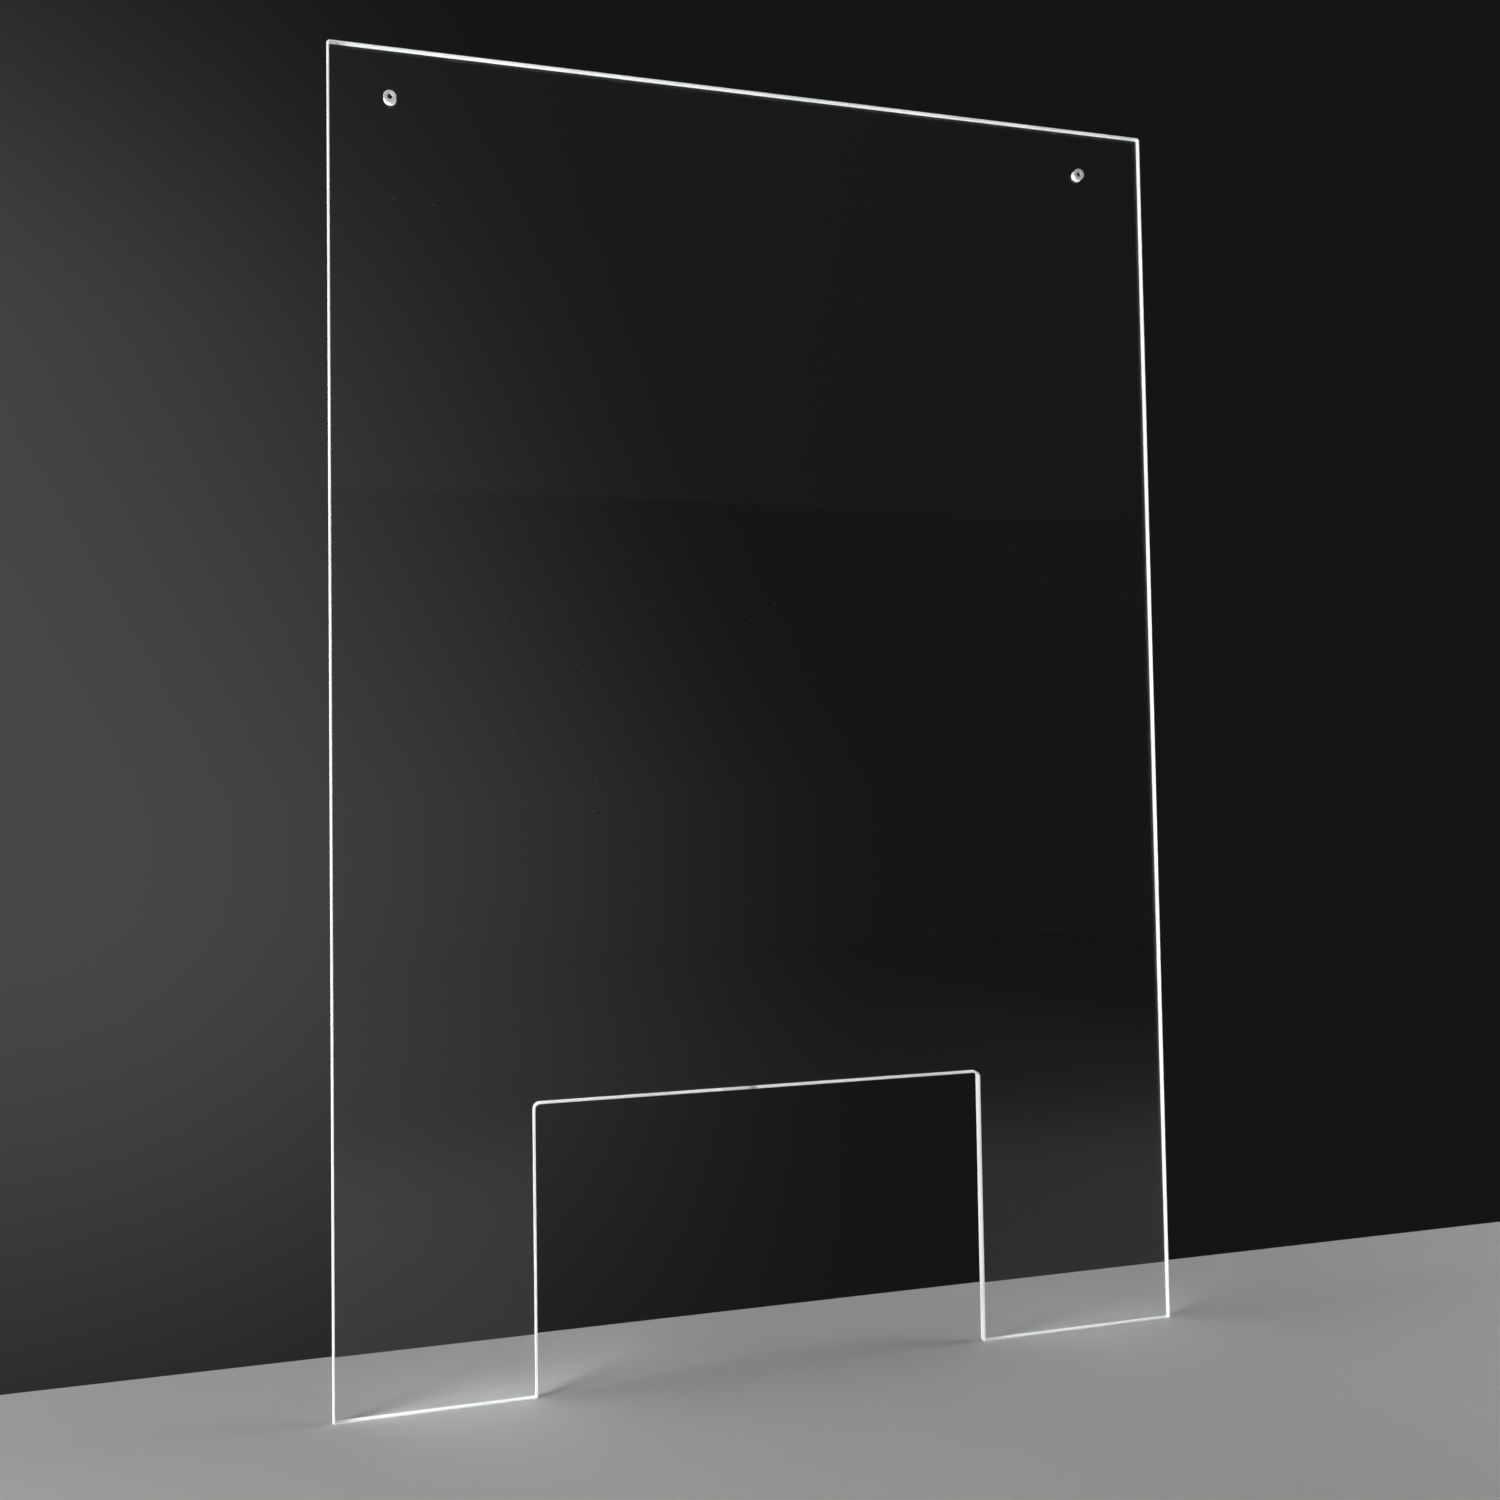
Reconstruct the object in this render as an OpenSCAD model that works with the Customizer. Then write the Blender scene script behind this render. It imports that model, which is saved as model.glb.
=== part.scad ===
// Hanging sneeze guard: one flat, clear acrylic sheet with a pass-through cut
// into its bottom edge and a light bushing in each of its two hanging holes.
// The sheet stands upright in the XZ plane, centred on Y = 0, with its feet
// on Z = 0 and its front face towards -Y. All dimensions are in millimetres.

/* [Sheet] */
// Width of the sheet
sheet_w = 609.6; // [450:0.1:1220]
// Height of the sheet
sheet_h = 914.4; // [600:0.1:1220]
// Thickness of the sheet
sheet_t = 6; // [3:0.5:12]
// Radius of the sheet's outer corners
outer_r = 2.5; // [0.5:0.5:20]

/* [Pass-through] */
// Width of the foot to the left of the pass-through
left_foot_w = 132; // [50:1:180]
// Width of the foot to the right of the pass-through
right_foot_w = 154; // [50:1:180]
// Height of the pass-through above the bottom edge
pass_h = 196; // [60:1:400]
// Radius of the pass-through's two upper corners
pass_r = 3.2; // [1:0.1:20]
// Radius of each foot's bottom corners
foot_r = 2; // [0.5:0.5:20]

/* [Hanging holes] */
// Distance of the left hole's centre from the left edge
left_hole_inset = 41; // [15:1:150]
// Distance of the right hole's centre from the right edge
right_hole_inset = 54; // [15:1:150]
// Distance of both holes' centres below the top edge
hole_drop = 35; // [15:1:100]
// Diameter of the holes drilled through the sheet
hole_d = 6.4; // [5:0.1:12]

/* [Bushings] */
// Outer diameter of each bushing's flanges
flange_d = 8.6; // [8:0.1:20]
// Thickness of each flange, proud of the sheet's face
flange_t = 0.8; // [0.4:0.1:2]
// Diameter of the bore that the hanging line runs through
line_bore_d = 3.6; // [1.5:0.1:4.5]

/* [Hidden] */
$fn = 96;
overlap = 20;
left_hole_x = left_hole_inset - sheet_w / 2;
right_hole_x = sheet_w / 2 - right_hole_inset;
hole_z = sheet_h - hole_drop;
bushing_l = sheet_t + 2 * flange_t;

// Rectangle with its lower left corner at the origin and true round corners
module round_rect(w, h, r) {
    translate([r, 0]) square([w - 2 * r, h]);
    translate([0, r]) square([w, h - 2 * r]);
    for (x = [r, w - r], y = [r, h - r])
        translate([x, y]) circle(r);
}

// Concave fillet that fills the corner at the origin towards +X and -Y
module fillet(r) {
    translate([0, -r])
        difference() {
            square(r);
            translate([r, 0]) circle(r);
        }
}

// The sheet's outline: a panel on two feet, with filleted inside corners
module outline() {
    translate([-sheet_w / 2, pass_h])
        round_rect(sheet_w, sheet_h - pass_h, outer_r);
    translate([-sheet_w / 2, 0])
        round_rect(left_foot_w, pass_h + overlap, foot_r);
    translate([sheet_w / 2 - right_foot_w, 0])
        round_rect(right_foot_w, pass_h + overlap, foot_r);
    translate([left_foot_w - sheet_w / 2, pass_h])
        fillet(pass_r);
    translate([sheet_w / 2 - right_foot_w, pass_h])
        mirror([1, 0]) fillet(pass_r);
}

// Turns a shape that was drawn in the XY plane upright, into the XZ plane
module upright() {
    rotate([90, 0, 0]) children();
}

module sheet() {
    color([0.85, 0.93, 0.94, 0.35])
        upright()
            difference() {
                linear_extrude(sheet_t, center = true) outline();
                for (x = [left_hole_x, right_hole_x])
                    translate([x, hole_z, 0])
                        cylinder(h = 2 * sheet_t, d = hole_d, center = true);
            }
}

// Flanged bushing about a hole at x: a neck as thick as the sheet between
// two flanges, bored through for the hanging line
module bushing(x) {
    color("gainsboro")
        upright()
            translate([x, hole_z, 0])
                difference() {
                    union() {
                        cylinder(h = sheet_t, d = hole_d, center = true);
                        for (side = [-1, 1])
                            translate([0, 0, side * (sheet_t + flange_t) / 2])
                                cylinder(h = flange_t, d = flange_d, center = true);
                    }
                    cylinder(h = 2 * bushing_l, d = line_bore_d, center = true);
                }
}

module left_bushing() {
    bushing(left_hole_x);
}

module right_bushing() {
    bushing(right_hole_x);
}

sheet();
left_bushing();
right_bushing();
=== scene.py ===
"""A hanging sneeze guard of clear acrylic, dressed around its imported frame.

The guard stands upright in the XZ plane, with its front face towards -Y.
Lengths are in metres, and the angles given as numbers are in degrees.
"""

import math

import bpy
import numpy as np
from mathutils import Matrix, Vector, geometry


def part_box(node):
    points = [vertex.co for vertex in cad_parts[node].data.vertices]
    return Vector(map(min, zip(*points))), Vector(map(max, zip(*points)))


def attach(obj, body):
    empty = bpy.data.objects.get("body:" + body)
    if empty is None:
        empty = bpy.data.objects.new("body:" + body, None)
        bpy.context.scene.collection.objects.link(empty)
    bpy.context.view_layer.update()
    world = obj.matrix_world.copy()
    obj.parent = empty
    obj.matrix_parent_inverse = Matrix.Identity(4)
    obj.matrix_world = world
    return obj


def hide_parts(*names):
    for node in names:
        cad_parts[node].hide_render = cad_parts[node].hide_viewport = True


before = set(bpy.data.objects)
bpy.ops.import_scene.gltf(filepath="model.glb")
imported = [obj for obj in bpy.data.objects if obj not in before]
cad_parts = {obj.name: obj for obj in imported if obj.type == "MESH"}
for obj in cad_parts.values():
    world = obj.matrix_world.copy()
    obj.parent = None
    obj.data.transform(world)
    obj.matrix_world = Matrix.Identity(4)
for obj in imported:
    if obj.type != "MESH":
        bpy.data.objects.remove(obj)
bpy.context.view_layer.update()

# ---------------------------------------------------------------- dimensions

MM = 0.001
SHEET_LOW, SHEET_HIGH = (np.array(corner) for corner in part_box("sheet"))
SHEET_T = SHEET_HIGH[1] - SHEET_LOW[1]
BUSHINGS = ["left_bushing", "right_bushing"]

# The pass-through, and the round corners of the outline
LEFT_FOOT_W = 132 * MM
RIGHT_FOOT_W = 154 * MM
PASS_H = 196 * MM
OUTER_R = 2.5 * MM
FOOT_R = 2 * MM
PASS_R = 3.2 * MM

# The rounded arrises of the outline and of the drilled holes
ARRIS_R = 1.6 * MM
HOLE_ARRIS_R = 1.0 * MM

# The drilled holes, and the bores through their bushings
HOLE_R = 3.2 * MM
LINE_BORE_R = 1.8 * MM

# Where a darker stretch in the colour of the pass-through's top edge starts, with a whiter spot, and
# where it ends, at its darkest
DARK_STRETCH_START_X = -45 * MM
DARK_STRETCH_END_X = -20 * MM

CORNER_STEPS = 10
ARRIS_STEPS = 6
ROUND_STEPS = 8
RING_STEPS = 96
BUSHING_SHARP_ANGLE = 40


def centre_of(node):
    """The middle of a CAD node's box."""
    low, high = (np.array(corner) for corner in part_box(node))
    return (low + high) / 2


HOLES = np.array([centre_of(node)[[0, 2]] for node in BUSHINGS])


# ------------------------------------------------------------------- shaders


class Value:
    """A shader socket whose arithmetic adds Math nodes to its tree."""

    def __init__(self, shader, socket):
        self.shader = shader
        self.socket = socket

    def __add__(self, other):
        return self.shader.math("ADD", self, other)

    def __sub__(self, other):
        return self.shader.math("SUBTRACT", self, other)

    def __rsub__(self, other):
        return self.shader.math("SUBTRACT", other, self)

    def __mul__(self, other):
        return self.shader.math("MULTIPLY", self, other)

    __radd__ = __add__
    __rmul__ = __mul__


class Shader:
    """The node tree of a material or a world, with one method that adds any node."""

    def __init__(self, holder):
        holder.use_nodes = True
        self.holder = holder
        self.tree = holder.node_tree
        self.tree.nodes.clear()

    def node(self, kind, settings=None, inputs=None):
        """Adds a node, applies its settings, fills its inputs and gives its outputs by name."""
        node = self.tree.nodes.new(kind)
        for name, setting in (settings or {}).items():
            setattr(node, name, setting)
        for key, value in (inputs or {}).items():
            if isinstance(value, Value):
                self.tree.links.new(value.socket, node.inputs[key])
            else:
                node.inputs[key].default_value = value
        return {socket.name: Value(self, socket) for socket in node.outputs if socket.enabled}

    def math(self, operation, *values):
        """The result of a Math node on the values."""
        inputs = dict(enumerate(values))
        return self.node("ShaderNodeMath", {"operation": operation}, inputs)["Value"]

    def noise(self, vector, scale, detail=3.0, rough=0.5):
        """Fractal noise between 0 and 1."""
        inputs = {"Vector": vector, "Scale": scale, "Detail": detail, "Roughness": rough}
        return self.node("ShaderNodeTexNoise", {}, inputs)["Fac"]

    def stretch(self, vector, scale):
        """The coordinates multiplied by a scale along each axis."""
        inputs = {0: vector, 1: scale}
        return self.node("ShaderNodeVectorMath", {"operation": "MULTIPLY"}, inputs)["Vector"]

    def length(self, vector):
        """The length of a vector."""
        return self.node("ShaderNodeVectorMath", {"operation": "LENGTH"}, {0: vector})["Value"]

    def between(self, value, low, high):
        """A smooth step from 0 at low to 1 at high, where high may be the smaller number."""
        settings = {"interpolation_type": "SMOOTHSTEP"}
        inputs = {"Value": value, "From Min": low, "From Max": high}
        return self.node("ShaderNodeMapRange", settings, inputs)["Result"]

    def tint(self, factor, first, second):
        """A colour that goes from first to second as factor goes from 0 to 1."""
        first, second = [end if isinstance(end, Value) else (*end, 1.0) for end in (first, second)]
        inputs = {0: factor, 6: first, 7: second}
        return self.node("ShaderNodeMix", {"data_type": "RGBA"}, inputs)["Result"]

    def bump(self, height, distance):
        """A normal from a height between 0 and 1, which stands distance metres tall."""
        inputs = {"Height": height, "Distance": distance}
        return self.node("ShaderNodeBump", {}, inputs)["Normal"]

    def object_place(self):
        """The place on the piece in metres, in the guard's own frame, or a world's direction."""
        return self.node("ShaderNodeTexCoord")["Object"]

    def along_edge(self):
        """The piece's own map: metres along a cut edge, then metres across it."""
        return self.node("ShaderNodeTexCoord")["UV"]

    def parts(self, vector):
        """The three numbers of a vector."""
        found = self.node("ShaderNodeSeparateXYZ", {}, {"Vector": vector})
        return found["X"], found["Y"], found["Z"]

    def blend(self, factor, first, second):
        """A shader that goes from first to second as factor goes from 0 to 1."""
        inputs = {0: factor, 1: first, 2: second}
        return self.node("ShaderNodeMixShader", {}, inputs)["Shader"]

    def finish(self, surface, output="ShaderNodeOutputMaterial"):
        """Links the surface to the tree's output and gives the material or world."""
        self.node(output, {}, {"Surface": surface})
        return self.holder


ACRYLIC_IOR = 1.49

# The room's light everywhere, behind the guard, in front of it and above the lit ledge
ROOM_GLOW = 0.0075
BACK_GLOW = 0.057
FRONT_GLOW = 0.01
LEDGE_GLOW = 0.04

# The ledge's height over its distance in front of the guard
LEDGE_SLOPE = 0.226


def clear_acrylic():
    """Polished cast acrylic: clear, very slightly wavy, with faint wiping marks and dust.

    Light that only casts a shadow passes straight through, a little dimmed.
    """
    shader = Shader(bpy.data.materials.new("clear_acrylic"))
    place = shader.object_place()
    waves = shader.noise(shader.stretch(place, (7.0, 7.0, 5.0)), 1.0, 1.0)
    wipes = shader.noise(shader.stretch(place, (9.0, 9.0, 34.0)), 1.0, 4.0, 0.6)
    patches = shader.noise(place, 4.0, 2.0)
    wiped = shader.between(wipes, 0.56, 0.78) * shader.between(patches, 0.48, 0.7)
    dots = shader.noise(place, 700.0, 0.0)
    dust = shader.between(dots, 0.88, 0.92) * shader.between(patches, 0.45, 0.6)
    glass = shader.node(
        "ShaderNodeBsdfPrincipled",
        {},
        {
            "Base Color": (0.985, 0.995, 0.995, 1.0),
            "Roughness": wiped * 0.05,
            "IOR": ACRYLIC_IOR,
            "Transmission Weight": 1.0,
            "Normal": shader.bump(waves, 0.12 * MM),
        },
    )["BSDF"]
    specks = shader.node(
        "ShaderNodeBsdfPrincipled",
        {},
        {"Base Color": (0.75, 0.75, 0.72, 1.0), "Roughness": 0.9},
    )["BSDF"]
    dusty = shader.blend(dust * 0.25, glass, specks)
    through = shader.node("ShaderNodeBsdfTransparent", {}, {"Color": (0.93, 0.94, 0.94, 1.0)})["BSDF"]
    shadow_ray = shader.node("ShaderNodeLightPath")["Is Shadow Ray"]
    return shader.finish(shader.blend(shadow_ray, dusty, through))


def pass_top_tone_masks(shader):
    """Masks on the pass-through's top edge: how much darker its colour is, and a whiter spot where the
    darker stretch starts.

    The edge is slightly darker from the start to the end, and darkest at the
    end. Both masks fade out before the guard's own top edge.
    exit. Both masks fade out before the guard's own top edge.
    """
    x, _, z = shader.parts(shader.object_place())
    off_start = shader.math("ABSOLUTE", x - DARK_STRETCH_START_X)
    off_end = shader.math("ABSOLUTE", x - DARK_STRETCH_END_X)
    fade = 4 * MM
    after_start = shader.between(x, DARK_STRETCH_START_X, DARK_STRETCH_START_X + fade)
    before_end = shader.between(x, DARK_STRETCH_END_X, DARK_STRETCH_END_X - fade)
    darkest_end_spot = shader.between(off_end, 3.5 * MM, 1.5 * MM)
    whiter_start_spot = shader.between(off_start, 2.5 * MM, 1.5 * MM)
    above_feet = shader.between(z, PASS_H - 3 * MM, PASS_H - 2 * MM)
    on_top = above_feet * shader.between(z, PASS_H * 2.5, PASS_H * 2)
    darkening = (after_start * before_end * 0.2 + darkest_end_spot * 0.6) * on_top
    return darkening, whiter_start_spot * on_top


def on_edge_flat(shader, across):
    """A mask that is 1 on the flat of the edge and fades out onto the arrises at its sides."""
    arris_end = ARRIS_R * math.pi / 2
    flat_end = arris_end + SHEET_T - 2 * ARRIS_R
    fade = 0.3 * MM
    past_first = shader.between(across, arris_end - fade, arris_end + fade)
    return past_first * shader.between(across, flat_end + fade, flat_end - fade)


def milled_edge():
    """Acrylic cut by a router: frosted white, with fine cutter marks across its flat.

    Cloudy patches and streaks run along it, and the pass-through's top has a
    short darker stretch in its colour, darkest at its end, with a whiter spot at its start.
    """
    shader = Shader(bpy.data.materials.new("milled_edge"))
    edge = shader.along_edge()
    # A darker stretch and a whiter spot in the colour of the pass-through's top edge
    darkening, whiter_spot = pass_top_tone_masks(shader)
    run = shader.node(
        "ShaderNodeTexWave",
        {"wave_type": "BANDS", "bands_direction": "X"},
        {"Vector": edge, "Scale": 330.0, "Distortion": 1.2, "Detail": 2.0, "Detail Scale": 0.6},
    )["Fac"]
    chatter = shader.noise(shader.stretch(edge, (900.0, 90.0, 1.0)), 1.0, 4.0, 0.6)
    streaks = shader.noise(shader.stretch(edge, (18.0, 1500.0, 1.0)), 1.0, 2.0)
    patches = shader.noise(edge, 14.0, 2.0)
    flat = on_edge_flat(shader, shader.parts(edge)[1])
    height = (run * 0.4 + chatter * 0.6) * flat + streaks * 0.2
    cloudy = shader.between(patches, 0.3, 0.75)
    worn = (cloudy * 0.6 + chatter * 0.4) * (1.0 - whiter_spot)
    white = shader.tint(worn, (1.0, 1.0, 1.0), (0.74, 0.78, 0.79))
    frosted = shader.node(
        "ShaderNodeBsdfPrincipled",
        {},
        {
            "Base Color": shader.tint(darkening, white, (0.1, 0.11, 0.11)),
            "Roughness": 0.55 + chatter * 0.3,
            "IOR": ACRYLIC_IOR,
            "Transmission Weight": 0.35,
            "Normal": shader.bump(height, 0.1 * MM),
        },
    )["BSDF"]
    return shader.finish(frosted)


def natural_nylon():
    """Moulded nylon: off-white, slightly translucent, with a fine satin grain."""
    shader = Shader(bpy.data.materials.new("natural_nylon"))
    place = shader.object_place()
    grain = shader.noise(place, 2600.0, 3.0, 0.6)
    clouds = shader.noise(place, 320.0, 2.0)
    nylon = shader.node(
        "ShaderNodeBsdfPrincipled",
        {},
        {
            "Base Color": shader.tint(clouds, (0.6, 0.6, 0.58), (0.5, 0.5, 0.48)),
            "Roughness": 0.38 + grain * 0.2,
            "Subsurface Weight": 0.3,
            "Subsurface Radius": (1.0, 1.0, 1.0),
            "Subsurface Scale": 2 * MM,
            "Normal": shader.bump(grain, 0.03 * MM),
        },
    )["BSDF"]
    return shader.finish(nylon)


def pale_floor():
    """Matt studio board with a painted pool of light: pale around the guard, and painted darker out in
    front and to the sides, where the lamps' light is made to fall off.
    """
    shader = Shader(bpy.data.materials.new("pale_floor"))
    place = shader.object_place()
    x = shader.parts(place)[0]
    mottle = shader.noise(place, 3.0, 4.0)
    away = shader.length(shader.stretch(place, (0.6, 1.0, 1.0)))
    # Painted light: a pale pool round the guard, and painted falloff in front and to the sides; only the
    # mottle is the board's own tone.
    painted_light_pool = 1.0 - shader.between(away, 0.35, 0.95)
    painted_side_falloff = shader.between(shader.math("ABSOLUTE", x), 0.7, 1.2)
    pale = (0.25 + painted_light_pool * 0.75) * (1.0 - painted_side_falloff) * (0.86 + mottle * 0.14)
    board = shader.node(
        "ShaderNodeBsdfPrincipled",
        {},
        # From painted darkness far off to pale board under the painted pool of light.
        {"Base Color": shader.tint(pale, (0.008, 0.008, 0.008), (0.53, 0.53, 0.52)), "Roughness": 0.8},
    )["BSDF"]
    return shader.finish(board)


def dark_studio():
    """A dim room: a soft glow low behind the guard's left side, and a faint one high in front.

    x, y and z are the parts of the direction that is looked in. The glow in
    front starts at a level ledge, which shows as a faint line in the sheet.
    """
    shader = Shader(bpy.data.worlds.new("dark_studio"))
    x, y, z = shader.parts(shader.object_place())
    leaning = x + shader.math("MAXIMUM", z, 0.0) * 0.5
    leftwards = shader.between(leaning, 0.36, -0.25)
    low = shader.between(z, 0.65, 0.3) * shader.between(z, -0.55, -0.05)
    behind = shader.between(y, 0.0, 0.4) * leftwards * low
    ledge_height = y * -LEDGE_SLOPE
    above_ledge = shader.between(z - ledge_height, 0.0, 0.006) * shader.between(x, 0.6, 0.0)
    in_front = shader.between(y, 0.0, -0.4) * (FRONT_GLOW + above_ledge * LEDGE_GLOW)
    light = ROOM_GLOW + behind * BACK_GLOW + in_front
    colour = (1.0, 0.99, 0.97, 1.0)
    glow = shader.node("ShaderNodeBackground", {}, {"Color": colour, "Strength": light})["Background"]
    return shader.finish(glow, "ShaderNodeOutputWorld")


# -------------------------------------------------------------------- shapes


def sheet_outline(inset):
    """The sheet's outline as points in XZ, anticlockwise from the front, moved inwards by inset.

    Each corner of the straight-sided outline is moved along both its edges'
    inward normals, then cut by a quarter circle that is tangent to both
    edges: its points are centre + r (sin(a) u - cos(a) v), for a from 0 to
    90 degrees, where u and v are the directions of the edges before and
    after the corner, and the centre is the corner - r u + r v. The inset
    shrinks the radius of an outer corner and grows that of an inner one.
    """
    left, right = SHEET_LOW[0], SHEET_HIGH[0]
    bottom, top = SHEET_LOW[2], SHEET_HIGH[2]
    pass_left, pass_right, pass_top = left + LEFT_FOOT_W, right - RIGHT_FOOT_W, bottom + PASS_H
    corners = np.array(
        [
            (left, bottom),
            (pass_left, bottom),
            (pass_left, pass_top),
            (pass_right, pass_top),
            (pass_right, bottom),
            (right, bottom),
            (right, top),
            (left, top),
        ]
    )
    grows = np.array([-1, -1, 1, 1, -1, -1, -1, -1])
    radius = np.array([FOOT_R, FOOT_R, PASS_R, PASS_R, FOOT_R, FOOT_R, OUTER_R, OUTER_R])
    radius = radius + inset * grows
    after = np.roll(corners, -1, axis=0) - corners
    after = after / np.linalg.norm(after, axis=1, keepdims=True)
    before = np.roll(after, 1, axis=0)
    inward = np.stack([-before[:, 1] - after[:, 1], before[:, 0] + after[:, 0]], axis=1)
    moved = corners + inset * inward
    r = radius[:, None, None]
    angle = np.linspace(0, np.pi / 2, CORNER_STEPS)[None, :, None]
    centre = moved[:, None] + r * (after - before)[:, None]
    arcs = centre + r * (np.sin(angle) * before[:, None] - np.cos(angle) * after[:, None])
    return arcs.reshape(-1, 2)


def ring(centre, radius):
    """A circle's points in XZ, anticlockwise from the front."""
    angle = np.linspace(0, 2 * np.pi, RING_STEPS, endpoint=False)
    return centre + radius * np.stack([np.cos(angle), np.sin(angle)], axis=1)


def arris_profile(radius):
    """How far each loop of a cut edge is set back from it, and its depth from front to back.

    The flat of the edge runs between two quarter rounds of radius r:
    setback = r (1 - cos(a)) and depth from the face = r (1 - sin(a)).
    """
    angle = np.linspace(np.pi / 2, 0, ARRIS_STEPS + 1)
    setback = radius * (1 - np.cos(angle))
    depth = radius * (1 - np.sin(angle))
    setback = np.concatenate([setback, setback[::-1]])
    depth = np.concatenate([depth, SHEET_T - depth[::-1]])
    return setback, SHEET_LOW[1] + depth


def wall(loops, depths, first):
    """Quads between a closed outline's loops, and their map of metres along and across the wall.

    loops is depth by point by XZ. A quad joins two neighbouring points on
    one loop to the same two on the next. Its map is the length along the
    outermost loop and the length across the profile.
    """
    count, size = loops.shape[:2]
    points = np.concatenate([loops, np.broadcast_to(depths[:, None, None], (count, size, 1))], axis=2)
    points = points[:, :, [0, 2, 1]]
    here = first + np.arange(count * size).reshape(count, size)
    beside = np.roll(here, -1, axis=1)
    quads = np.stack([here[:-1], here[1:], beside[1:], beside[:-1]], axis=-1).reshape(-1, 4)
    middle = points[count // 2]
    steps = np.linalg.norm(np.roll(middle, -1, axis=0) - middle, axis=1)
    along = np.concatenate([[0], np.cumsum(steps)])
    rise = np.linalg.norm(np.diff(points, axis=0), axis=2)[:, 0]
    across = np.concatenate([[0], np.cumsum(rise)])
    i, j = np.divmod(np.arange((count - 1) * size), size)
    u = np.stack([along[j], along[j], along[j + 1], along[j + 1]], axis=1)
    v = np.stack([across[i], across[i + 1], across[i + 1], across[i]], axis=1)
    return points.reshape(-1, 3), quads, np.stack([u, v], axis=-1)


def face_triangles(outline, holes):
    """Triangles that fill an outline around its round holes, as indices into all their points.

    The triangulation also fills the holes, so a triangle is dropped where
    its middle is nearer to a hole's centre than the sides of the hole's ring.
    """
    loops = [outline, *holes]
    starts = np.cumsum([0] + [len(loop) for loop in loops])
    edges = []
    for start, end in zip(starts[:-1], starts[1:]):
        edges += [(int(k), int(k + 1 if k + 1 < end else start)) for k in range(start, end)]
    points = np.concatenate(loops)
    found = geometry.delaunay_2d_cdt([Vector(point) for point in points], edges, [], 1, 1e-7)
    number = np.array([ids[0] for ids in found[3]])
    triangles = number[np.array(found[2])]
    middles = points[triangles].mean(axis=1)
    keep = np.ones(len(triangles), bool)
    for hole in holes:
        centre = hole.mean(axis=0)
        side = np.linalg.norm(hole[0] - centre) * math.cos(math.pi / RING_STEPS)
        keep &= np.linalg.norm(middles - centre, axis=1) > side
    return triangles[keep]


def new_piece(name, points, faces, maps, slots, materials):
    """A mesh object at the origin from its points, faces, corner maps and material slots."""
    mesh = bpy.data.meshes.new(name)
    mesh.from_pydata(points.tolist(), [], faces)
    layer = mesh.uv_layers.new(name="UVMap")
    layer.data.foreach_set("uv", np.concatenate(maps).astype(np.float32).ravel())
    mesh.polygons.foreach_set("material_index", slots)
    for material in materials:
        mesh.materials.append(material)
    piece = bpy.data.objects.new(name, mesh)
    bpy.context.scene.collection.objects.link(piece)
    return piece


def make_sheet():
    """The sheet: two flat faces, a rounded arris along every cut edge and two drilled holes.

    Each cut edge is the arris profile carried round a closed path: the
    outline, and a ring round each hole, clockwise so that its wall faces in.
    """
    setback, edge_depths = arris_profile(ARRIS_R)
    paths = [(np.array([sheet_outline(back) for back in setback]), edge_depths)]
    setback, hole_depths = arris_profile(HOLE_ARRIS_R)
    for hole in HOLES:
        loops = np.array([ring(hole, HOLE_R + back)[::-1] for back in setback])
        paths.append((loops, hole_depths))
    points, faces, maps, slots = [], [], [], []
    front, back = [], []
    first = 0
    for loops, depths in paths:
        wall_points, quads, wall_maps = wall(loops, depths, first)
        size = loops.shape[1]
        front.append(first + np.arange(size))
        back.append(first + len(wall_points) - size + np.arange(size))
        points.append(wall_points)
        faces += quads.tolist()
        maps.append(wall_maps.reshape(-1, 2))
        slots += [1] * len(quads)
        first += len(wall_points)
    points = np.concatenate(points)
    outline, *holes = [loops[0] for loops, _ in paths]
    triangles = face_triangles(outline, holes)
    for loop, order in ((np.concatenate(front), 1), (np.concatenate(back), -1)):
        face = loop[triangles][:, ::order]
        faces += face.tolist()
        maps.append(points[face.ravel()][:, [0, 2]])
        slots += [0] * len(face)
    piece = new_piece("guard_sheet", points, faces, maps, slots, [clear_acrylic(), milled_edge()])
    piece.data.polygons.foreach_set("use_smooth", np.array(slots) == 1)
    return piece


def arc(centre, radius, start, end):
    """Points on a circle about centre from the start angle to the end angle, in degrees."""
    angle = np.radians(np.linspace(start, end, ROUND_STEPS))
    return np.array(centre) + radius * np.stack([np.cos(angle), np.sin(angle)], axis=1)


def bushing_profile(flange_r, flange_t):
    """A bushing's closed section, as radius and depth from the middle of the sheet.

    Its front half runs up the line bore, round the bore's mouth, over the
    flange's face and a shallow groove in it, round its rim and in beneath it
    to the neck, which clears the drilled hole. The back half mirrors it.
    """
    mouth_r, rim_r = 0.5 * MM, 0.34 * MM
    groove_r, groove_half_w, groove_depth = 2.95 * MM, 0.2 * MM, 0.08 * MM
    neck_r = HOLE_R - 0.1 * MM
    face = SHEET_T / 2 + flange_t
    under = SHEET_T / 2 + 0.02 * MM
    mouth = arc((LINE_BORE_R + mouth_r, mouth_r - face), mouth_r, 180, 270)
    groove = np.array(
        [
            (groove_r - groove_half_w, -face),
            (groove_r, groove_depth - face),
            (groove_r + groove_half_w, -face),
        ]
    )
    rim = arc((flange_r - rim_r, rim_r - face), rim_r, 270, 360)
    neck = np.array([(flange_r, -under), (neck_r, -under)])
    front = np.concatenate([mouth, groove, rim, neck])
    return np.concatenate([front, front[::-1] * (1, -1)])


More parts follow.
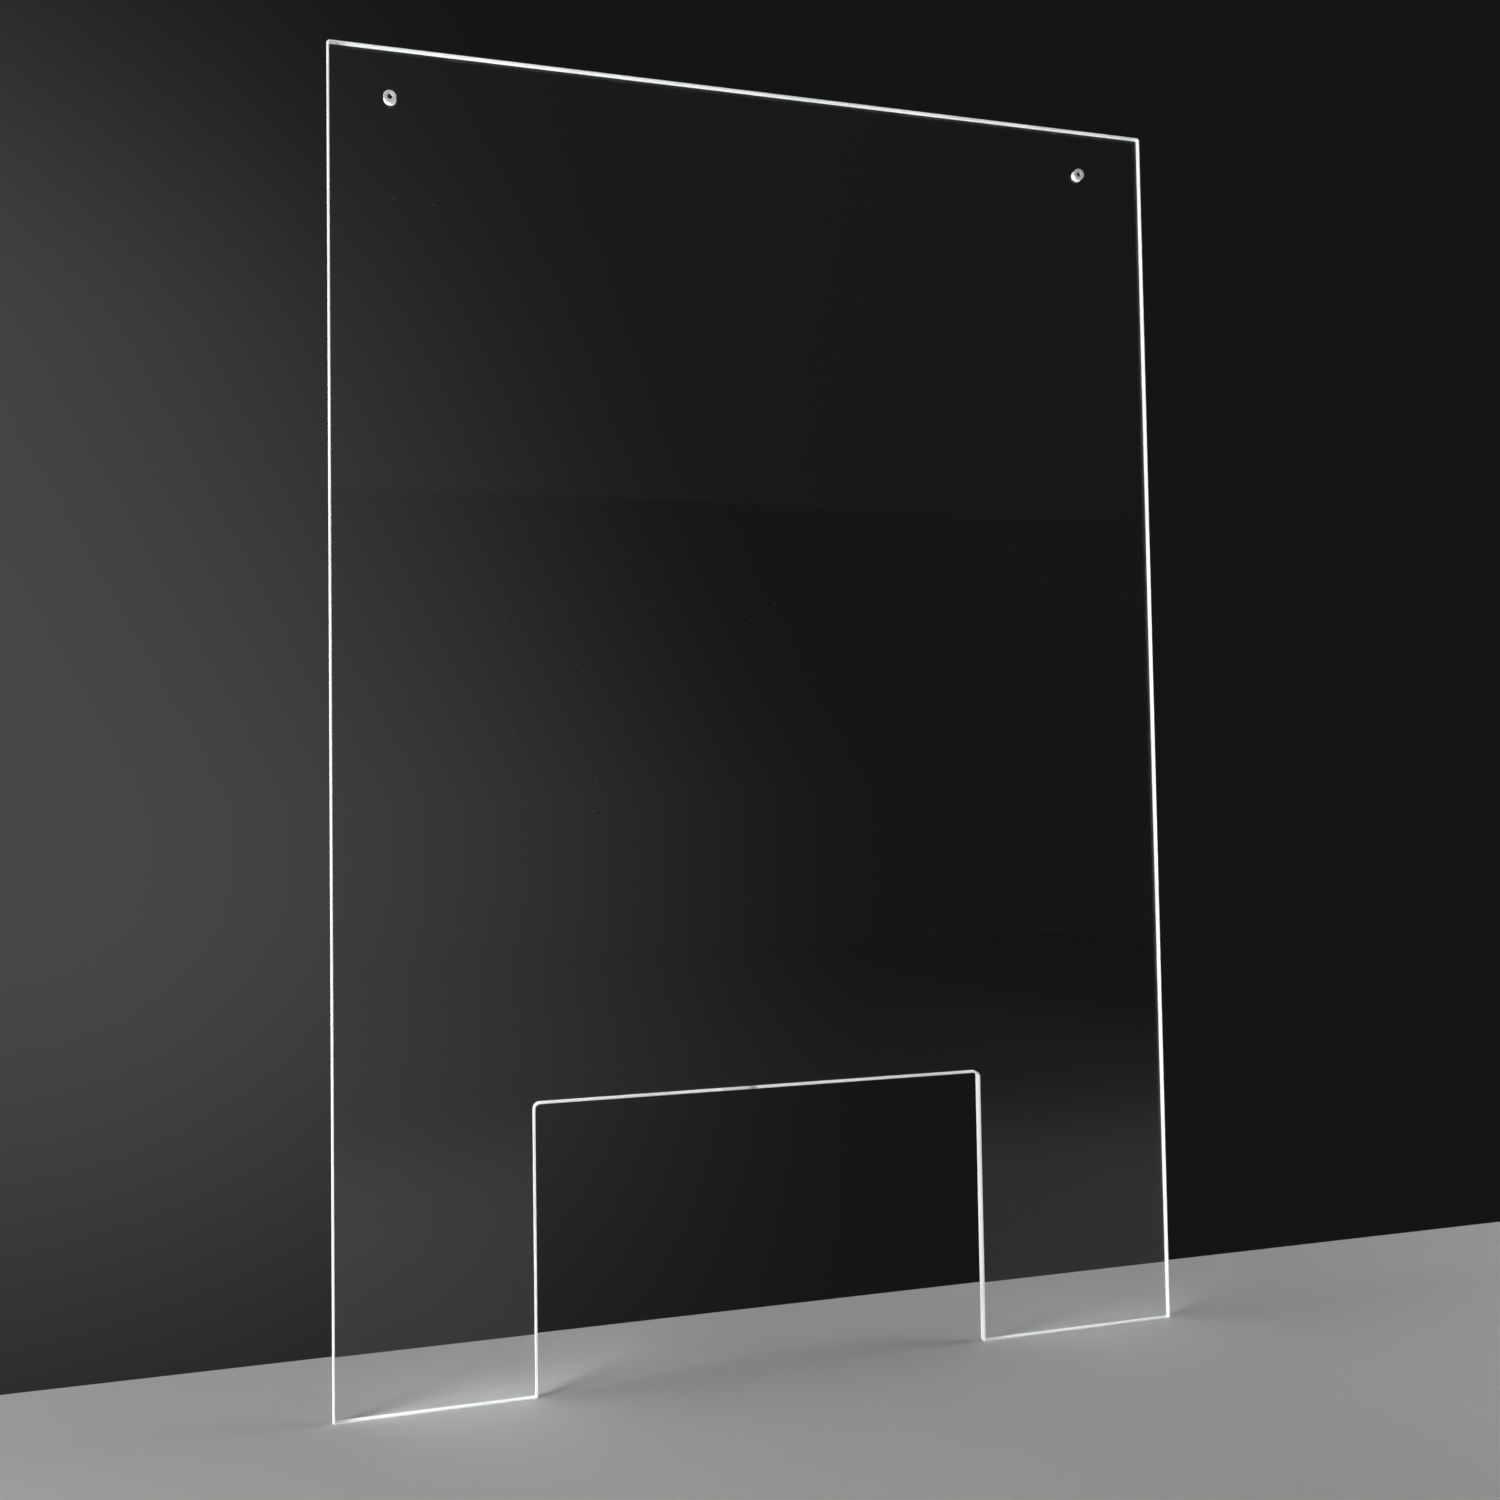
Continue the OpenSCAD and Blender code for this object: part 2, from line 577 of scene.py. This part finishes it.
def make_bushing(node, material):
    """A bushing: its closed section turned about the hole's axis, which runs along Y.

    A point at radius r and depth y goes to (x + r cos(a), y, z + r sin(a)).
    """
    low, high = (np.array(corner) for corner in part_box(node))
    x, middle, z = centre_of(node)
    flange_r = (high[0] - low[0]) / 2
    flange_t = (high[1] - low[1] - SHEET_T) / 2
    profile = bushing_profile(flange_r, flange_t)
    angle = np.linspace(0, 2 * np.pi, RING_STEPS, endpoint=False)[None, :]
    r, y = profile[:, 0, None], profile[:, 1, None]
    turned = np.broadcast_arrays(x + r * np.cos(angle), middle + y, z + r * np.sin(angle))
    points = np.stack(turned, axis=-1).reshape(-1, 3)
    here = np.arange(len(points)).reshape(-1, RING_STEPS)
    after = np.roll(here, -1, axis=0)
    quads = np.stack([here, after, np.roll(after, -1, axis=1), np.roll(here, -1, axis=1)], axis=-1)
    quads = quads.reshape(-1, 4)
    maps = [points[quads.ravel()][:, [0, 2]]]
    piece = new_piece(f"{node}_body", points, quads.tolist(), maps, [0] * len(quads), [material])
    piece.data.polygons.foreach_set("use_smooth", [True] * len(quads))
    piece.data.set_sharp_from_angle(angle=math.radians(BUSHING_SHARP_ANGLE))
    return piece


# -------------------------------------------------------------------- studio


def make_floor():
    """A flat studio board under the guard, which ends a short way behind it."""
    side, front, back = 2.6, -2.6, 0.11
    points = np.array([(-side, front, 0), (side, front, 0), (side, back, 0), (-side, back, 0)])
    maps = [points[:, :2]]
    return new_piece("studio_floor", points, [[0, 1, 2, 3]], maps, [0], [pale_floor()])


def softbox(name, place, aim, size, power):
    """A soft rectangular lamp of a width and height, at place and facing aim, that isn't seen itself."""
    lamp = bpy.data.lights.new(name, "AREA")
    lamp.shape = "RECTANGLE"
    lamp.size, lamp.size_y = size
    lamp.energy = power
    holder = bpy.data.objects.new(name, lamp)
    holder.location = place
    holder.rotation_euler = (Vector(aim) - Vector(place)).to_track_quat("-Z", "Y").to_euler()
    holder.visible_camera = False
    holder.visible_transmission = False
    bpy.context.scene.collection.objects.link(holder)


def light_studio():
    """A lamp at each side for the upright edges, one overhead for the top edge, and a dim room."""
    softbox("left_lamp", place=(-1.6, -0.75, 0.42), aim=(0, 0, 0.4), size=(0.6, 0.7), power=42)
    softbox("right_lamp", place=(1.7, -0.3, 0.36), aim=(0, 0, 0.4), size=(0.6, 0.5), power=20)
    softbox("top_lamp", place=(0, -0.05, 1.4), aim=(0, 0, 0.9), size=(1.1, 0.25), power=0.8)
    bpy.context.scene.world = dark_studio()


def place_camera():
    """A camera to the left of the guard's middle, level with its lower half."""
    lens = bpy.data.cameras.new("view")
    lens.sensor_width = 36
    lens.lens = 31.9
    lens.clip_start = 0.01
    camera = bpy.data.objects.new("view", lens)
    camera.location = (-0.257, SHEET_LOW[1] - 0.9145, 0.402)
    camera.rotation_euler = [math.radians(turn) for turn in (92.015, 0.889, -14.551)]
    bpy.context.scene.collection.objects.link(camera)
    bpy.context.scene.camera = camera


place_camera()
light_studio()
bpy.context.scene.view_settings.view_transform = "Standard"
make_floor()

sheet = make_sheet()
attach(sheet, "root")
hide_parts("sheet")

nylon = natural_nylon()
for bushing_node in BUSHINGS:
    bushing = make_bushing(bushing_node, nylon)
    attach(bushing, "root")
    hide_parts(bushing_node)
